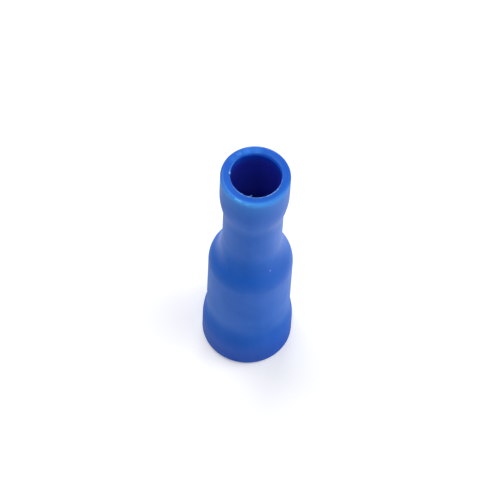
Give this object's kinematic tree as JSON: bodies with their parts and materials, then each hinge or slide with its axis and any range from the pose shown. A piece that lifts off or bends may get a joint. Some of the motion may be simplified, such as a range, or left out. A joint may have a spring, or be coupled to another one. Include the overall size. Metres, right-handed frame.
{
  "type": "round crimp socket connector",
  "caption": "Round insulated crimp socket connector: a stepped blue vinyl sleeve with a flared wire entry, round a rolled tin-plated contact with a split socket for a bullet pin.",
  "frame": {"origin": "centre of the foot ring that the connector stands on, at its socket end", "axes": "+Z along the connector's axis from the socket mouth to the wire entry; +Y through the contact's seam"},
  "size_m": [0.0078, 0.0078, 0.025],
  "materials": {
    "sleeve_vinyl": "satin",
    "tinned_contact": "satin"
  },
  "bodies": {
    "root": {"insulating_sleeve": "sleeve_vinyl", "socket_contact": "tinned_contact"}
  },
  "joints": []
}
